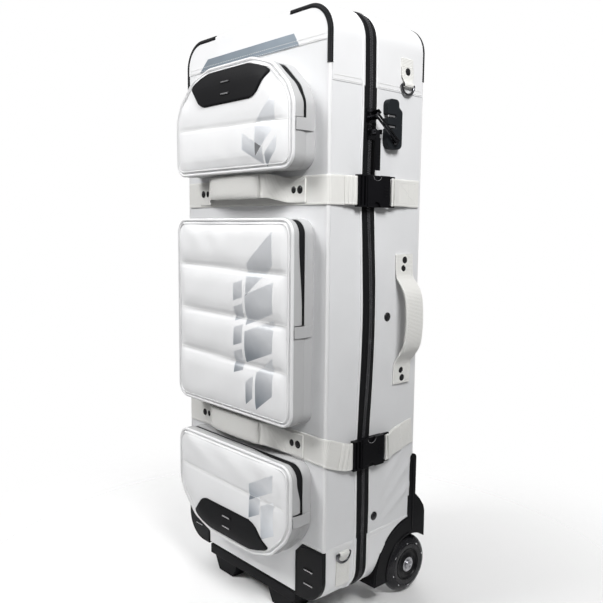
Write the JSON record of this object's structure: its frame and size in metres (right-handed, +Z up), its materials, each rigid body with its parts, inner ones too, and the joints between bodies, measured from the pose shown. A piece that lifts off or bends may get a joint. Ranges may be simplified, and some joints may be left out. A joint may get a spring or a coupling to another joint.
{
  "type": "wheeled skate bag",
  "caption": "Tall white clamshell roller bag with front pockets, buckled straps, side grab handle, pull handle and two rear wheels.",
  "frame": {"origin": "middle of the bounding box's footprint, on the ground", "axes": "+Z up, -Y the pocket front, +X the side with the zipper, lock and buckles"},
  "size_m": [0.3546, 0.2634, 0.84],
  "materials": {
    "shell_fabric": "coated polyester weave, pale grey white",
    "overlay_fabric": "smooth coated fabric, near white",
    "board": "polyethylene sheet",
    "white_piping": "white piping",
    "black_rubber": "ribbed black binding",
    "zipper_tape": "black coil zipper",
    "black_plastic": "moulded black plastic, fine grain",
    "buckle_plastic": "black acetal",
    "lock_casing": "dark grey zinc casting, painted",
    "button_plastic": "grey plastic",
    "chrome": "polished",
    "pull_metal": "black nickel plate",
    "pull_rubber": "moulded rubber",
    "rivets": "black caps",
    "webbing": "white polyester webbing",
    "tube_aluminium": "anodised",
    "steel": "zinc plated",
    "wheel_tyre": "dark cast polyurethane",
    "wheel_hub": "black nylon",
    "pocket_fabric": "padded coated polyester"
  },
  "bodies": {
    "base": {"back_panel": "shell_fabric", "back_board": "board", "base_side_panels": "shell_fabric", "base_end_panels": "overlay_fabric", "back_piping": "white_piping", "back_corner_binding": "black_rubber", "zipper_tape_base": "zipper_tape", "hinge_strip": "shell_fabric", "wheel_housings": "black_plastic", "wheel_axles": "steel", "lock_case": "lock_casing", "ring_tab_upper": "webbing", "back_straps": "webbing", "buckle_sockets": "buckle_plastic", "side_handle": "webbing", "base_rivets": "rivets", "handle_bezel": "black_plastic", "handle_outer_tubes": "tube_aluminium"},
    "lid": {"front_panel": "shell_fabric", "lid_side_panels": "shell_fabric", "lid_end_panels": "overlay_fabric", "front_piping": "white_piping", "front_corner_binding": "black_rubber", "corner_guards": "black_plastic", "bottom_rail": "black_plastic", "zipper_tape_lid": "zipper_tape", "front_straps": "webbing", "front_grips": "webbing", "buckle_plugs": "buckle_plastic", "lid_rivets": "rivets", "ring_tab_lower": "webbing", "pocket_tray_upper": "pocket_fabric", "pocket_tray_middle": "pocket_fabric", "pocket_tray_lower": "pocket_fabric", "pocket_panel_lower": "black_plastic"},
    "lock_key_plug": {"lock_cylinder": "chrome"},
    "upper_ring": {"ring_upper": "chrome"},
    "lower_ring": {"ring_lower": "chrome"},
    "pull_handle": {"handle_inner_tubes": "tube_aluminium", "handle_grip": "black_plastic"},
    "pull_button": {"handle_button": "button_plastic"},
    "wheel_right": {"tyre_right": "wheel_tyre", "hub_right": "wheel_hub", "bearings_right": "steel"},
    "wheel_left": {"tyre_left": "wheel_tyre", "hub_left": "wheel_hub", "bearings_left": "steel"},
    "upper_slider": {"zipper_slider_upper": "pull_metal"},
    "upper_pull": {"zipper_pull_upper": "pull_metal"},
    "lower_slider": {"zipper_slider_lower": "pull_metal"},
    "lower_pull": {"zipper_pull_lower": "pull_rubber"},
    "upper_flap": {"pocket_flap_upper": "pocket_fabric", "pocket_panel_upper": "black_plastic"},
    "middle_flap": {"pocket_flap_middle": "pocket_fabric"},
    "lower_flap": {"pocket_flap_lower": "pocket_fabric"},
    "lower_buckle_arm_low": {"buckle_arm_1": "buckle_plastic"},
    "lower_buckle_arm_high": {"buckle_arm_2": "buckle_plastic"},
    "upper_buckle_arm_low": {"buckle_arm_3": "buckle_plastic"},
    "upper_buckle_arm_high": {"buckle_arm_4": "buckle_plastic"}
  },
  "joints": [
    {"name": "lid_hinge", "type": "hinge", "parent": "base", "child": "lid", "pos_m": [-0.17835, -0.0213, 0.4385], "axis": [0, 0, -1], "range_deg": [0, 180]},
    {"name": "wheel_right_spin", "type": "hinge", "parent": "base", "child": "wheel_right", "pos_m": [0.13715, 0.0877, 0.044], "axis": [1, 0, 0], "continuous": true},
    {"name": "wheel_left_spin", "type": "hinge", "parent": "base", "child": "wheel_left", "pos_m": [-0.16285, 0.0877, 0.044], "axis": [1, 0, 0], "continuous": true},
    {"name": "pull_handle_slide", "type": "slide", "parent": "base", "child": "pull_handle", "axis": [0, 0, 1], "range_m": [0, 0.27]},
    {"name": "pull_button_press", "type": "slide", "parent": "pull_handle", "child": "pull_button", "axis": [0, 0, -1], "range_m": [0, 0.003], "stiffness_N_per_m": 600},
    {"name": "upper_slider_travel", "type": "slide", "parent": "base", "child": "upper_slider", "axis": [0, 0, 1], "range_m": [0, 0.06]},
    {"name": "upper_pull_swing", "type": "hinge", "parent": "upper_slider", "child": "upper_pull", "pos_m": [0.16485, -0.0213, 0.7035], "axis": [0, -0.6018, -0.7986], "range_deg": [0, 110]},
    {"name": "lower_slider_travel", "type": "slide", "parent": "base", "child": "lower_slider", "axis": [0, 0, -1], "range_m": [0, 0.04]},
    {"name": "lower_pull_swing", "type": "hinge", "parent": "lower_slider", "child": "lower_pull", "pos_m": [0.16485, -0.0193, 0.6815], "axis": [0, -1, 0], "range_deg": [0, 150]},
    {"name": "upper_ring_swing", "type": "hinge", "parent": "base", "child": "upper_ring", "pos_m": [0.15405, 0.0517, 0.7515], "axis": [0, -1, 0], "range_deg": [0, 150]},
    {"name": "lower_ring_swing", "type": "hinge", "parent": "lid", "child": "lower_ring", "pos_m": [0.15405, -0.0588, 0.1095], "axis": [0, -1, 0], "range_deg": [0, 150]},
    {"name": "lock_key_turn", "type": "hinge", "parent": "base", "child": "lock_key_plug", "pos_m": [0.15615, 0.0202, 0.6735], "axis": [1, 0, 0], "range_deg": [0, 90]},
    {"name": "upper_flap_hinge", "type": "hinge", "parent": "lid", "child": "upper_flap", "pos_m": [-0.01285, -0.1293, 0.69218], "axis": [1, 0, 0], "range_deg": [0, 110]},
    {"name": "middle_flap_hinge", "type": "hinge", "parent": "lid", "child": "middle_flap", "pos_m": [-0.01285, -0.1293, 0.42574], "axis": [1, 0, 0], "range_deg": [0, 110]},
    {"name": "lower_flap_hinge", "type": "hinge", "parent": "lid", "child": "lower_flap", "pos_m": [-0.01285, -0.1293, 0.16842], "axis": [1, 0, 0], "range_deg": [0, 110]},
    {"name": "lower_buckle_arm_low_press", "type": "slide", "parent": "lid", "child": "lower_buckle_arm_low", "axis": [0, 0, 1], "range_m": [0, 0.003], "stiffness_N_per_m": 900},
    {"name": "lower_buckle_arm_high_press", "type": "slide", "parent": "lid", "child": "lower_buckle_arm_high", "axis": [0, 0, -1], "range_m": [0, 0.003], "stiffness_N_per_m": 900},
    {"name": "upper_buckle_arm_low_press", "type": "slide", "parent": "lid", "child": "upper_buckle_arm_low", "axis": [0, 0, 1], "range_m": [0, 0.003], "stiffness_N_per_m": 900},
    {"name": "upper_buckle_arm_high_press", "type": "slide", "parent": "lid", "child": "upper_buckle_arm_high", "axis": [0, 0, -1], "range_m": [0, 0.003], "stiffness_N_per_m": 900}
  ]
}
